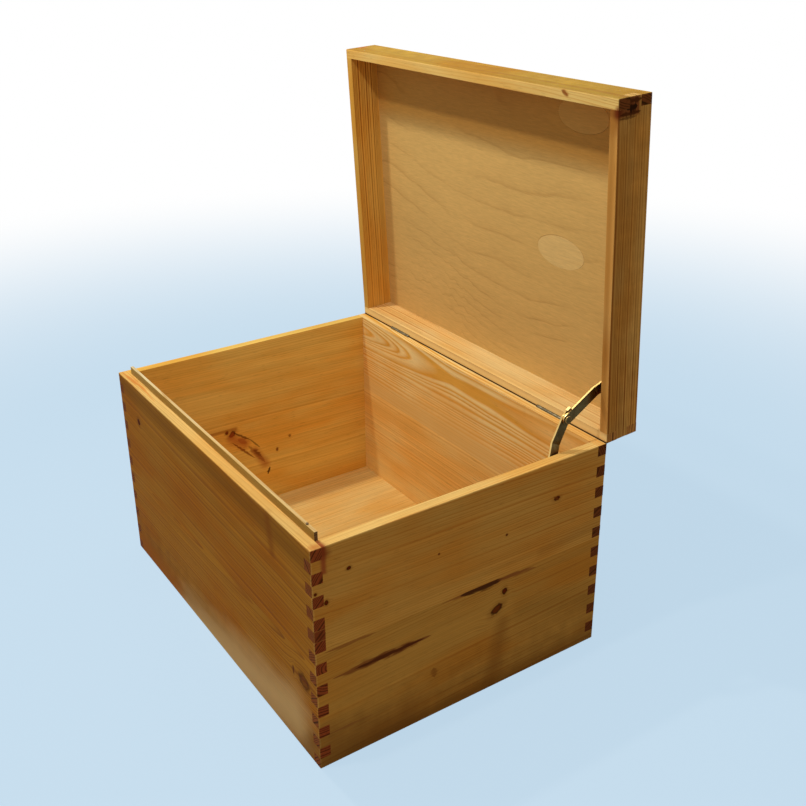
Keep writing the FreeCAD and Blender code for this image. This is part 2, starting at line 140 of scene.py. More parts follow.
def mix_colour(factor, first, second, blend="MIX"):
    """Two colours mixed; the factor may be a number or a mask."""
    return add(tree_of((factor, first, second)), "ShaderNodeMix", {0: factor, 6: first, 7: second},
               data_type="RGBA", blend_type=blend).outputs[2]


def colour(red, green, blue):
    """A colour written as it shows on a screen, 0 to 255, for a shader socket."""
    def linear(level):
        share = level / 255
        return share / 12.92 if share <= 0.04045 else ((share + 0.055) / 1.055) ** 2.4
    return (linear(red), linear(green), linear(blue), 1.0)


def new_material(name):
    """An empty node material and its tree."""
    material = bpy.data.materials.new(name)
    material.use_nodes = True
    material.node_tree.nodes.clear()
    return material, material.node_tree


def seen_share(tree):
    """1 for what the camera sees, straight or in a gloss, and 0 for what only gives light."""
    path = add(tree, "ShaderNodeLightPath").outputs
    return calc("MAXIMUM", path["Is Camera Ray"], path["Is Glossy Ray"])


floor_reach = 25.0
floor_near, floor_far = colour(205, 232, 252), colour(255, 255, 255)
fade_start, fade_end = 0.55, 1.75
own_light = 0.8
paper_grey = colour(186, 186, 180)

floor_mesh = bpy.data.meshes.new("floor")
corners = [(-1, -1), (1, -1), (1, 1), (-1, 1)]
floor_mesh.from_pydata([(x * floor_reach, y * floor_reach, 0) for x, y in corners], [], [range(4)])
floor = new_object("floor", floor_mesh)

floor_finish, tree = new_material("pale sweep")
distance = vector_calc("LENGTH", add(tree, "ShaderNodeTexCoord").outputs["Object"])
fade = smooth_step(distance, fade_start, fade_end)
paper = add(tree, "ShaderNodeBsdfDiffuse", {"Color": paper_grey}).outputs[0]
glow = add(tree, "ShaderNodeEmission", {"Color": mix_colour(fade, floor_near, floor_far)}).outputs[0]
share = times(seen_share(tree), plus(own_light, times(fade, 1 - own_light)))
sweep = add(tree, "ShaderNodeMixShader", {0: share, 1: paper, 2: glow}).outputs[0]
add(tree, "ShaderNodeOutputMaterial", {"Surface": sweep})
floor_mesh.materials.append(floor_finish)

room_light = 0.41
world = bpy.data.worlds.new("room")
world.use_nodes = True
world.node_tree.nodes.clear()
strength = ranged(seen_share(world.node_tree), room_light, 1.0)
room = add(world.node_tree, "ShaderNodeBackground", {"Color": (1, 1, 1, 1), "Strength": strength})
add(world.node_tree, "ShaderNodeOutputWorld", {"Surface": room.outputs[0]})
bpy.context.scene.world = world

lamp_aim, lamp_width = Vector((0, 0, 0.2)), 0.05
for name, lamp_place, power in (("left softbox", (-0.33, -0.21, 1.13), 4.6),
                                ("right softbox", (0.12, -0.37, 1.15), 3.2)):
    light = bpy.data.lights.new(name, "AREA")
    light.shape = "DISK"
    light.size = lamp_width
    light.energy = power
    lamp = new_object(name, light)
    lamp.location = lamp_place
    lamp.rotation_euler = (lamp_aim - Vector(lamp_place)).to_track_quat("-Z", "Y").to_euler()
bpy.context.scene.view_settings.view_transform = "Standard"


# ---- Pine boards --------------------------------------------------------------------------------
# Each side of the chest is a 10 mm pine board glued up from two staves. Fingers sawn in its ends
# interlock with those of its neighbours, and a groove near its lower edge holds the bottom.

chest_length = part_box("front_board_lower")[1].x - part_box("front_board_lower")[0].x
chest_depth = chest_back - chest_front
chest_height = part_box("front_board_upper")[1].z
half_length, half_depth = chest_length / 2, chest_depth / 2
board_thickness = 10 * mm
box_fingers = 20
corner_ease = 0.8 * mm          # rounding of the outer arrises
joint_ease = 0.06 * mm          # of every other edge
groove_depth = 5 * mm
groove_low, groove_high = 8 * mm, 13 * mm


def minus(first, second):
    return calc("SUBTRACT", first, second)


def scaled(vector, factor):
    return add(vector.id_data, "ShaderNodeVectorMath", {0: vector, "Scale": factor},
               operation="SCALE").outputs["Vector"]


def split(vector):
    """The X, Y and Z of a vector."""
    return add(vector.id_data, "ShaderNodeSeparateXYZ", {0: vector}).outputs


def point(x=0.0, y=0.0, z=0.0):
    """A vector of three values, one or more of them linked."""
    return add(tree_of((x, y, z)), "ShaderNodeCombineXYZ", {"X": x, "Y": y, "Z": z}).outputs[0]


def noise(vector, along, across, detail, roughness=0.5):
    """Noise with so many waves to a metre along X and across it."""
    return add(vector.id_data, "ShaderNodeTexNoise", {
        "Vector": vector_calc("MULTIPLY", vector, (along, across, across)), "Scale": 1.0,
        "Detail": detail, "Roughness": roughness}).outputs["Fac"]


def group_tree(kind, name, inputs):
    """A node group and its inputs, each named with its default or, without one, its kind."""
    tree = bpy.data.node_groups.new(name, kind + "NodeTree")
    kinds = {bool: "Bool", int: "Int", float: "Float"}
    for socket, value in inputs.items():
        made = tree.interface.new_socket(socket, in_out="INPUT",
                                         socket_type="NodeSocket" + kinds.get(type(value), value))
        if type(value) in kinds:
            made.default_value = value
    return tree, tree.nodes.new("NodeGroupInput").outputs


def ended(tree, **results):
    """The node group with its outputs made and linked."""
    kinds = {"VALUE": "Float", "VECTOR": "Vector", "RGBA": "Color", "GEOMETRY": "Geometry"}
    for name, value in results.items():
        tree.interface.new_socket(name, in_out="OUTPUT", socket_type="NodeSocket" + kinds[value.type])
    add(tree, "NodeGroupOutput", results)
    return tree


def in_finish(form, finish):
    """The end of a geometry tree: everything made real and given its material."""
    whole = add(form.id_data, "GeometryNodeRealizeInstances", {"Geometry": form}).outputs[0]
    return add(form.id_data, "GeometryNodeSetMaterial", {"Geometry": whole, "Material": finish}).outputs[0]


def finger_board_tree():
    """A board with notches for the neighbour's fingers, in its own frame.

    X runs along it, Y inwards from its outer face and Z up from the frame's lower edge.
    """
    tree, given = group_tree("Geometry", "finger board", {
        "Length": 400 * mm, "Thickness": 10 * mm, "Bottom": 0.0, "Top": 100 * mm,
        "Frame height": 210 * mm, "Fingers": 20, "First notch": 0, "Groove depth": 5 * mm,
        "Groove low": 8 * mm, "Groove high": 13 * mm, "Joint share": 0.15, "Hinged": False,
        "Hinge spacing": 250 * mm, "Hinge length": 34 * mm, "Hinge width": 8 * mm,
        "Hinge depth": 1 * mm, "Hollow radius": 1.8 * mm, "Hinge line": 210.25 * mm,
        "Hinge inset": 0.6 * mm, "Finish": "Material"})

    def cube(size):
        return add(tree, "GeometryNodeMeshCube", {"Size": size}).outputs["Mesh"]

    def moved(form, place, turn=(0, 0, 0)):
        return add(tree, "GeometryNodeTransform", {
            "Geometry": form, "Translation": place, "Rotation": turn}).outputs[0]

    def line(count, start, step):
        return add(tree, "GeometryNodeMeshLine", {
            "Count": count, "Start Location": start, "Offset": step}).outputs[0]

    def on_points(points, form, scale=(1, 1, 1)):
        return add(tree, "GeometryNodeInstanceOnPoints", {
            "Points": points, "Instance": form, "Scale": scale}).outputs[0]

    def joined(forms):
        join = add(tree, "GeometryNodeJoinGeometry")
        for form in forms:
            tree.links.new(form, join.inputs[0])
        return join.outputs[0]

    length, thickness, height = given["Length"], given["Thickness"], given["Frame height"]
    half = times(length, 0.5)
    middle_y = times(thickness, 0.5)
    middle_z = times(plus(given["Top"], given["Bottom"]), 0.5)
    stave_size = point(length, thickness, minus(given["Top"], given["Bottom"]))
    blank = moved(cube(stave_size), point(0.0, middle_y, middle_z))

    # Notches: every second finger, counted down from the frame's top, at both ends
    pitch = calc("DIVIDE", height, given["Fingers"])
    count = calc("CEIL", times(minus(given["Fingers"], given["First notch"]), 0.5))
    first_z = minus(height, times(plus(given["First notch"], 0.5), pitch))
    reach = times(thickness, 2.0)
    notch = cube(point(reach, reach, pitch))

    # A notch that meets the frame's edge is half as long again and runs out past it
    at = split(add(tree, "GeometryNodeInputPosition").outputs[0])
    at_edge = times(pitch, 0.9)
    at_top = calc("LESS_THAN", minus(height, at["Z"]), at_edge)
    at_foot = calc("LESS_THAN", at["Z"], at_edge)
    outward = times(minus(at_top, at_foot), times(pitch, 0.25))
    longer = plus(1.0, times(plus(at_top, at_foot), 0.5))
    cuts = []
    for end in (half, times(half, -1.0)):
        places = line(count, point(end, middle_y, first_z), point(z=times(pitch, -2.0)))
        places = add(tree, "GeometryNodeSetPosition", {
            "Geometry": places, "Offset": point(z=outward)}).outputs[0]
        cuts.append(on_points(places, notch, point(1.0, 1.0, longer)))

    # Groove or rebate along the inner face, stopped short of the ends
    stop = minus(thickness, given["Groove depth"])
    groove_size = point(minus(length, times(stop, 2.0)), times(given["Groove depth"], 2.0),
                        minus(given["Groove high"], given["Groove low"]))
    groove_z = times(plus(given["Groove high"], given["Groove low"]), 0.5)
    cuts.append(moved(cube(groove_size), point(0.0, thickness, groove_z)))

    # Beds for the leaves in the outer face, and hollows for the knuckles of two hinges
    leaf_play, knuckle_play = 0.2 * mm, 1.4 * mm
    hinge_places = line(2, point(times(given["Hinge spacing"], -0.5), 0.0, given["Hinge line"]),
                        point(given["Hinge spacing"]))
    leaf = cube(point(plus(given["Hinge length"], leaf_play), times(given["Hinge depth"], 2.0),
                      times(given["Hinge width"], 2.0)))
    hollow = add(tree, "GeometryNodeMeshCylinder", {
        "Vertices": 32, "Radius": given["Hollow radius"],
        "Depth": plus(given["Hinge length"], knuckle_play)}).outputs["Mesh"]
    hollow = moved(hollow, point(y=given["Hinge inset"]), (0, math.pi / 2, 0))
    cuts.append(add(tree, "GeometryNodeSwitch", {
        "Switch": given["Hinged"],
        "True": joined([on_points(hinge_places, leaf), on_points(hinge_places, hollow)])},
        input_type="GEOMETRY").outputs[0])

    waste = add(tree, "GeometryNodeRealizeInstances", {"Geometry": joined(cuts)}).outputs[0]
    board = add(tree, "GeometryNodeMeshBoolean", {
        "Mesh 1": blank, "Mesh 2": waste, "Self Intersection": True},
        operation="DIFFERENCE", solver="EXACT").outputs["Mesh"]

    # How much each edge is eased: fully on the frame's outer arrises, a little at the joints and
    # not at all along the glue line
    near = 0.02 * mm

    def close_to(value, target):
        return calc("COMPARE", value, target, near)

    on_end = close_to(calc("ABSOLUTE", at["X"]), half)
    on_face = close_to(at["Y"], 0.0)
    on_rim = calc("MAXIMUM", close_to(at["Z"], 0.0), close_to(at["Z"], height))
    arris = calc("GREATER_THAN", plus(on_end, on_face, on_rim), 1.5)
    on_stave = calc("MAXIMUM", close_to(at["Z"], given["Bottom"]), close_to(at["Z"], given["Top"]))
    not_glued = minus(1.0, calc("SUBTRACT", on_stave, on_rim, clamp=True))
    angle = add(tree, "GeometryNodeInputMeshEdgeAngle").outputs["Unsigned Angle"]
    sharp = calc("GREATER_THAN", angle, 0.5)
    weight = calc("MAXIMUM", times(sharp, not_glued, given["Joint share"]), times(arris, sharp))
    weighted = add(tree, "GeometryNodeStoreNamedAttribute", {
        "Geometry": board, "Name": "bevel_weight_edge", "Value": weight},
        data_type="FLOAT", domain="EDGE").outputs[0]
    return ended(tree, Board=in_finish(weighted, given["Finish"]))


finger_board = finger_board_tree()


def grown(tree, name, values, start=None):
    """An object with a Geometry Nodes modifier, its named inputs set."""
    piece = new_object(name, start or bpy.data.meshes.new(name))
    modifier = piece.modifiers.new("form", "NODES")
    modifier.node_group = tree
    identifiers = {item.name: item.identifier for item in tree.interface.items_tree
                   if item.item_type == "SOCKET" and item.in_out == "INPUT"}
    for socket, value in values.items():
        modifier[identifiers[socket]] = value
    return piece


def settled(piece, place=None):
    """The piece with its modifiers applied and its place in its mesh."""
    bpy.context.view_layer.update()
    ready = piece.evaluated_get(bpy.context.evaluated_depsgraph_get())
    mesh = bpy.data.meshes.new_from_object(ready)
    mesh.name = piece.name
    piece.modifiers.clear()
    piece.data = mesh
    if place:
        mesh.transform(place)
    return piece


def eased(piece, width, segments=2, limit="ANGLE"):
    bevel = piece.modifiers.new("eased edges", "BEVEL")
    bevel.width = width
    bevel.segments = segments
    bevel.limit_method = limit
    bevel.angle_limit = math.radians(40)
    return piece


def board_place(turn, outer, base=0.0, swing=None):
    """Where a board's own frame lies: turned about Z, its outer face that far from the middle."""
    stand = (Matrix.Translation((0, chest_middle, base)) @ Matrix.Rotation(math.radians(turn), 4, "Z") @
             Matrix.Translation((0, -outer, 0)))
    return swing @ stand if swing else stand


def growth_rings_tree():
    """Growth rings about the X axis: the rings, a vivid or faint late wood, and each ring's tone."""
    tree, given = group_tree("Shader", "growth rings", {
        "Vector": "Vector", "Ring width": 3 * mm, "Wander": 4 * mm, "Late share": 0.4,
        "Ring end": 0.95})
    radius = vector_calc("LENGTH", vector_calc("MULTIPLY", given["Vector"], (0, 1, 1)))
    for along, across, share in ((3.5, 14, 2.0), (16, 80, 0.22)):
        sway = times(minus(noise(given["Vector"], along, across, 1.0), 0.5), share)
        radius = plus(radius, times(sway, given["Wander"]))

    # Rings of uneven width, each one darkening slowly and ending sharply
    year = calc("DIVIDE", radius, given["Ring width"])
    season = add(tree, "ShaderNodeTexNoise", {"W": year, "Scale": 0.31, "Detail": 0.0},
                 noise_dimensions="1D").outputs["Fac"]
    year = plus(year, times(season, 2.2))
    growth = calc("FRACT", year)
    rise = smooth_step(growth, minus(1.0, given["Late share"]), 0.9)
    ring = times(rise, smooth_step(growth, 1.0, given["Ring end"]))
    vivid = ranged(noise(given["Vector"], 5, 18, 1.0), 0.35, 1.15, 0.3, 0.7)
    tone = add(tree, "ShaderNodeTexWhiteNoise", {"W": calc("FLOOR", year)}, noise_dimensions="1D")
    return ended(tree, Late=calc("MULTIPLY", ring, vivid, clamp=True), Ring=ring,
                 Tone=tone.outputs["Value"])


def fibres_tree():
    """Streaks along the grain, fine and coarse, and short dark resin flecks."""
    tree, given = group_tree("Shader", "fibres", {"Vector": "Vector"})
    fleck = noise(given["Vector"], 95, 1500, 0.0, 0.65)
    return ended(tree, Streak=noise(given["Vector"], 11, 520, 3.0, 0.65),
                 Cloud=noise(given["Vector"], 7, 22, 2.0, 0.65), Fleck=smooth_step(fleck, 0.70, 0.80))


def knot_tree():
    """A knot through a board: its heart, its bark ring, the stained wood round it and the grain
    pushed aside by it."""
    tree, given = group_tree("Shader", "knot", {
        "Vector": "Vector", "Place": "Vector", "Radius": 4 * mm, "Stretch": 1.4, "Turn": 0.0,
        "Depth": 1.0})
    offset = vector_calc("SUBTRACT", given["Vector"], given["Place"])
    turned = split(add(tree, "ShaderNodeVectorRotate", {"Vector": offset, "Angle": given["Turn"]},
                       rotation_type="Y_AXIS").outputs[0])
    along = calc("DIVIDE", turned["X"], given["Stretch"])
    size = calc("SQRT", plus(times(along, along), times(turned["Z"], turned["Z"])))

    # The masks go by knot radii, each with a ragged edge
    size = calc("DIVIDE", size, given["Radius"])
    ragged = plus(size, times(minus(noise(given["Vector"], 260, 260, 2.0), 0.5), 0.9))
    masks = {"Heart": smooth_step(ragged, 1.05, 0.75),
             "Bark": times(smooth_step(ragged, 0.55, 0.9), smooth_step(ragged, 1.3, 0.95)),
             "Stain": smooth_step(ragged, 2.6, 0.9)}

    # Close by, the grain is looked up nearer to the knot's level, so that its lines bulge round it
    keep = minus(1.0, times(smooth_step(size, 4.5, 0.5), 0.6))
    straight = split(offset)
    aside = point(straight["X"], straight["Y"], times(straight["Z"], keep))
    return ended(tree, Vector=vector_calc("ADD", aside, given["Place"]),
                 **{mask: times(value, given["Depth"]) for mask, value in masks.items()})


def mark_tree(name):
    """The start of a group that marks a board between two of its points."""
    return group_tree("Shader", name, {
        "Vector": "Vector", "Start": "Vector", "End": "Vector", "Width": 2 * mm})


def off_line(given):
    """How far a point is from the line of a mark, and at which share of its run."""
    offset = vector_calc("SUBTRACT", given["Vector"], given["Start"])
    run = vector_calc("SUBTRACT", given["End"], given["Start"])
    share = calc("DIVIDE", vector_calc("DOT_PRODUCT", offset, run),
                 vector_calc("DOT_PRODUCT", run, run), clamp=True)
    return vector_calc("LENGTH", vector_calc("SUBTRACT", offset, scaled(run, share))), share


def pitch_tree():
    """A pocket of dark pitch: a long ragged lens."""
    tree, given = mark_tree("pitch pocket")
    away, share = off_line(given)
    hairline = 0.02 * mm
    lens = times(share, minus(1.0, share), 4.0)
    fray = ranged(noise(given["Vector"], 60, 400, 3.0), 0.35, 1.5, 0.3, 0.7)
    reach = plus(times(lens, given["Width"], fray), hairline)
    return ended(tree, Mark=smooth_step(calc("DIVIDE", away, reach), 1.1, 0.4))


def stain_and_painted_light_tree():
    """A soft patch of colour, used for stains and also for painted light and shade."""
    tree, given = mark_tree("stain_and_painted_light")
    away = off_line(given)[0]
    reach = times(given["Width"], plus(noise(given["Vector"], 14, 60, 3.0), 0.5))
    return ended(tree, Mark=smooth_step(calc("DIVIDE", away, reach), 1.1, 0.0))


def block_tree():
    """A crisp rectangle on a board's outer face, such as a dark finger."""
    tree, given = mark_tree("dark block")
    middle = scaled(vector_calc("ADD", given["Start"], given["End"]), 0.5)
    reach = scaled(vector_calc("SUBTRACT", given["End"], given["Start"]), 0.5)
    away = vector_calc("ABSOLUTE", vector_calc("SUBTRACT", given["Vector"], middle))
    past = split(vector_calc("SUBTRACT", away, vector_calc("ABSOLUTE", reach)))
    edge = calc("MAXIMUM", past["X"], past["Z"])
    return ended(tree, Mark=smooth_step(edge, 0.0, times(given["Width"], -1.0)))


def outer_coat_tree():
    """Which part of a board is on the frame's outside, how near it is to a worn arris, how much painted
    shade it gets low down, and painted shade along a seam in the outer face."""
    tree, given = group_tree("Shader", "outer coat", {
        "Vector": "Vector", "Half length": 200 * mm, "Height": 210 * mm, "Seam height": 210 * mm})
    part = split(given["Vector"])
    from_face = part["Y"]
    from_end = minus(given["Half length"], calc("ABSOLUTE", part["X"]))
    from_rim = calc("MINIMUM", part["Z"], minus(given["Height"], part["Z"]))
    coat_edge = (0.7 * mm, 0.15 * mm)
    side_coat = smooth_step(calc("MINIMUM", from_face, from_end), *coat_edge)
    rim_coat = times(smooth_step(from_rim, *coat_edge), 0.2)
    patchy = noise(given["Vector"], 70, 70, 3.0)
    from_arris = calc("MINIMUM", calc("MAXIMUM", from_face, from_end),
                      calc("MINIMUM", calc("MAXIMUM", from_face, from_rim),
                           calc("MAXIMUM", from_end, from_rim)))
    uneven = times(minus(patchy, 0.5), 70 * mm)
    from_seam = calc("MAXIMUM", calc("ABSOLUTE", minus(part["Z"], given["Seam height"])), from_face)
    return ended(tree, Coat=calc("MAXIMUM", side_coat, rim_coat),
                 Worn=smooth_step(calc("DIVIDE", from_arris, patchy), 3.2 * mm, 1.0 * mm),
                 # Painted shade, darker towards the foot of the board
                 Low=smooth_step(plus(part["Z"], uneven), 60 * mm, 0.0),
                 Seam=smooth_step(from_seam, 1.9 * mm, 0.7 * mm))


def shaded(shade, mask, low, high):
    """A colour made darker or lighter by a mask."""
    level = ranged(mask, low, high)
    grey = add(mask.id_data, "ShaderNodeCombineColor", {0: level, 1: level, 2: level}).outputs[0]
    return mix_colour(1.0, shade, grey, "MULTIPLY")


def timber_tree():
    """The colour, gloss and relief of planed pine, from the masks of the other groups."""
    colours = ("Early wood", "Late wood", "Heart wood", "Bark colour", "Coat and shade tint", "End colour")
    masks = ("Late", "Ring", "Tone", "Streak", "Cloud", "Fleck", "Heart", "Bark", "Stain", "Coat",
             "Worn", "Low", "End grain", "Contrast")
    tree, given = group_tree("Shader", "timber", {
        **dict.fromkeys(colours, "Color"), **dict.fromkeys(masks, 0.0)})
    wood = mix_colour(times(given["Late"], given["Contrast"]), given["Early wood"], given["Late wood"])
    for mask, low, high in (("Tone", 0.95, 1.05), ("Streak", 0.82, 1.16), ("Cloud", 0.84, 1.16)):
        wood = shaded(wood, given[mask], low, high)
    redder = mix_colour(1.0, wood, (1.04, 0.86, 0.62, 1.0), "MULTIPLY")
    wood = mix_colour(smooth_step(given["Cloud"], 0.62, 0.34), wood, redder)
    for mask, strength, tint in (("Fleck", 0.18, "Bark colour"), ("Stain", 0.35, "Heart wood"),
                                 ("Heart", 1.0, "Heart wood"), ("Bark", 0.85, "Bark colour")):
        wood = mix_colour(times(given[mask], strength), wood, given[tint])

    # The coat outside, partly painted shade, rubbed thin at the worn arrises, painted shade low down, and
    # the dark end grain
    coated = mix_colour(1.0, wood, given["Coat and shade tint"], "MULTIPLY")
    wood = mix_colour(times(given["Coat"], minus(1.0, times(given["Worn"], 0.3))), wood, coated)
    # Painted shade towards the foot of the outer faces
    wood = mix_colour(times(given["Low"], given["Coat"], 0.3), wood, given["Bark colour"])
    end = shaded(shaded(given["End colour"], given["Ring"], 1.25, 0.22), given["Streak"], 0.55, 1.45)
    wood = mix_colour(times(given["End grain"], 0.94), wood, end)
    rough = plus(ranged(given["Coat"], 0.62, 0.48), times(given["Streak"], 0.12))
    rough = minus(rough, times(given["Late"], 0.08))
    relief = minus(plus(times(given["Late"], 0.4), given["Streak"]), given["Fleck"])
    return ended(tree, Color=wood, Roughness=rough, Height=plus(relief, times(given["Heart"], 0.8)))


growth_rings, fibres, knot = growth_rings_tree(), fibres_tree(), knot_tree()
pitch_pocket, stain_and_painted_light, dark_block = pitch_tree(), stain_and_painted_light_tree(), block_tree()
outer_coat, timber = outer_coat_tree(), timber_tree()
grain_relief = 0.05 * mm
early_pine, late_pine = colour(240, 202, 122), colour(204, 134, 52)
heart_brown, bark_brown, end_brown = colour(128, 56, 16), colour(64, 26, 6), colour(130, 56, 27)
pitch_black, pitch_brown, seam_shade_brown = colour(40, 20, 6), colour(120, 62, 18), colour(52, 28, 8)
# The coat tints are partly a real amber coat and partly painted shade: they darken and warm the outer
# faces, which lie in shade, board by board
amber_coat_and_shade, front_coat_and_shade = colour(202, 172, 128), colour(192, 154, 91)
side_end, back_end = colour(130, 68, 32), colour(100, 46, 20)


def group_node(tree, group, inputs):
    return add(tree, "ShaderNodeGroup", inputs, node_tree=group).outputs


def in_frame(vector, place, turn):
    """A point as it lies in a frame with that place and turn."""
    return add(vector.id_data, "ShaderNodeMapping", {
        "Vector": vector, "Location": place, "Rotation": turn}, vector_type="TEXTURE").outputs[0]


def dress(tree, inputs, height, strength, depth):
    """Ends a material in a shader whose surface is embossed by a height."""
    bump = add(tree, "ShaderNodeBump", {"Height": height, "Strength": strength, "Distance": depth})
    shader = add(tree, "ShaderNodeBsdfPrincipled", {**inputs, "Normal": bump.outputs[0]})
    add(tree, "ShaderNodeOutputMaterial", {"Surface": shader.outputs[0]})


def pine(name, place, half, height, pith, lean=(0, 0), ring=2.6, wander=4, late_share=0.4,
         contrast=0.4, knots=(), marks=(), early=early_pine, late=late_pine, coat=amber_coat_and_shade,
         end=end_brown, ring_end=0.95, seam=None, bend=None):
    """A pine material for one stave or rail.

    place is the board's own frame, half its half length and height the frame's height. pith is the
    heart of the log that it was sawn from, as (depth from the outer face, height), and lean how the
    log runs off, in degrees across and up. ring is the width of a growth ring and wander how far it
    strays. Each knot is (along, height, radius, stretch, turn, depth of tone) and each mark (group,
    start, end, width, colour, strength), with its ends as (along, depth, height). bend is (from, to,
    depth): between those places along the board the log comes that much nearer to the outer face.
    seam is the height of a seam along the outer face that gets painted shade. half, height and seam
    are in metres, and all other lengths in millimetres.
    """
    material, tree = new_material(name)
    texture = add(tree, "ShaderNodeTexCoord").outputs
    board = in_frame(texture["Object"], place.to_translation(), place.to_euler())
    grain, masks = board, {"Heart": 0.0, "Bark": 0.0, "Stain": 0.0}
    for along, up, radius, stretch, turn, depth in knots:
        found = group_node(tree, knot, {
            "Vector": grain, "Place": (along * mm, 0, up * mm), "Radius": radius * mm,
            "Stretch": stretch, "Turn": math.radians(turn), "Depth": depth})
        grain = found["Vector"]
        masks = {mask: calc("MAXIMUM", found[mask], masks[mask]) for mask in masks}
    if bend:
        start, stop, depth = (length * mm for length in bend)
        shift = times(smooth_step(split(board)["X"], start, stop), depth)
        grain = vector_calc("ADD", grain, point(y=shift))
    log = in_frame(grain, (0, pith[0] * mm, pith[1] * mm),
                   (0, math.radians(-lean[1]), math.radians(lean[0])))
    rings = group_node(tree, growth_rings, {
        "Vector": log, "Ring width": ring * mm, "Wander": wander * mm, "Late share": late_share,
        "Ring end": ring_end})
    fibre = group_node(tree, fibres, {"Vector": log})
    outside = group_node(tree, outer_coat, {
        "Vector": board, "Half length": half, "Height": height, "Seam height": seam or 0.0})
    for layer in (rings, fibre, outside):
        masks.update({mask.name: mask for mask in layer if mask.name != "Seam"})
    facing = vector_calc("DOT_PRODUCT", texture["Normal"], place.to_3x3() @ Vector((1, 0, 0)))
    end_grain = smooth_step(calc("ABSOLUTE", facing), 0.6, 0.8)
    look = group_node(tree, timber, {
        "Early wood": early, "Late wood": late, "Heart wood": heart_brown, "Bark colour": bark_brown,
        "Coat and shade tint": coat, "End colour": end, "End grain": end_grain, "Contrast": contrast, **masks})
    shade = look["Color"]
    side_grain = minus(1.0, end_grain)
    for group, start, stop, width, tint, strength in marks:
        found = group_node(tree, group, {
            "Vector": board, "Start": Vector(start) * mm, "End": Vector(stop) * mm, "Width": width * mm})
        shade = mix_colour(times(side_grain, strength, found["Mark"]), shade, tint)
    # Painted shade in the crease where the lid meets the chest
    if seam is not None:
        shade = mix_colour(outside["Seam"], shade, seam_shade_brown)
    dress(tree, {"Base Color": shade, "Roughness": look["Roughness"], "Specular IOR Level": 0.01},
          look["Height"], 1.0, grain_relief)
    return material


def sawn_board(name, node, body, place, sizes):
    """A board of a finger-jointed frame, standing for its node."""
    piece = grown(finger_board, name, {**sizes, "Joint share": joint_ease / corner_ease})
    eased(piece, corner_ease, 3, "WEIGHT")
    settled(piece, place)
    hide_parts(node)
    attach(piece, body)


# Each side's turn about Z, how far out its face is, its length and its first notched finger
sides = {
    "front": (0, half_depth, chest_length, 1), "right": (90, half_length, chest_depth, 0),
    "back": (180, half_depth, chest_length, 1), "left": (270, half_length, chest_depth, 0)}


def stave(side, half, hinged=False, **look):
    """The lower or upper stave of one side of the chest."""
    turn, outer, length, first_notch = sides[side]
    place, node = board_place(turn, outer), f"{side}_board_{half}"
    low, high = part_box(node)
    sawn_board(f"{node}_stave", node, "chest", place, {
        "Length": length, "Thickness": board_thickness, "Bottom": low.z, "Top": high.z,
        "Frame height": chest_height, "Fingers": box_fingers, "First notch": first_notch,
        "Groove depth": groove_depth, "Groove low": groove_low, "Groove high": groove_high,
        "Hinged": hinged, "Finish": pine(f"{side} {half} pine", place, length / 2, chest_height, **look)})


front_late = colour(164, 98, 26)
stave("front", "lower", pith=(4, 97), lean=(2.2, 0.4), late_share=0.5, contrast=0.62, late=front_late,
      coat=front_coat_and_shade, knots=[(179, 75, 6.2, 1.35, -12, 0.56), (161, 75, 2.4, 0.5, 0, 0.6)],
      # The broad pale patch low on the front is painted light, thrown up from the floor
      marks=[(stain_and_painted_light, (-66, 0, -14), (158, 0, 28), 44, colour(236, 198, 136), 0.6),
             (stain_and_painted_light, (-200, 0, 8), (-90, 0, 4), 26, colour(178, 96, 16), 0.5),
             (stain_and_painted_light, (176, 0, 0), (190, 0, 22), 16, colour(130, 84, 30), 0.5)])
stave("front", "upper", pith=(-200, 340), lean=(1.0, -1.2), ring=2.4, late_share=0.5, contrast=0.5,
      late=front_late, coat=front_coat_and_shade, knots=[(-154, 172, 3.0, 0.9, 0, 1.0)],
      # The dark band along the top of the front is painted shade
      marks=[(stain_and_painted_light, (-200, 0, 200), (200, 0, 196), 16, colour(110, 66, 16), 0.45),
             (stain_and_painted_light, (131, 0, 204), (136, 0, 174), 8, colour(136, 72, 18), 0.55),
             (stain_and_painted_light, (-130, 6, 213), (220, 6, 213), 7, colour(222, 178, 102), 0.6),
             (stain_and_painted_light, (197, 5, 210), (197, 8, 210), 6, colour(190, 116, 54), 0.75),
             (pitch_pocket, (-199, 3, 210), (-140, 7, 210), 2.4, colour(206, 120, 50), 0.7),
             (pitch_pocket, (-188, 8, 210), (-110, 4, 210), 1.8, colour(214, 136, 62), 0.6)])
stave("back", "lower", pith=(-90, -140), lean=(0.8, -0.8), ring=2.2, end=back_end)
stave("back", "upper", hinged=True, pith=(29.9, 193), lean=(0, 0.4), ring=3.2, wander=6,
      late_share=0.85, ring_end=0.7, contrast=1.4, bend=(0, 280, 18), early=colour(242, 210, 140),
      late=colour(224, 166, 70), end=back_end, seam=chest_height,
      marks=[(stain_and_painted_light, (-200, 10, 132), (200, 10, 126), 24, colour(228, 184, 106), 0.75)])
left_early, left_late = colour(236, 197, 102), colour(198, 132, 46)
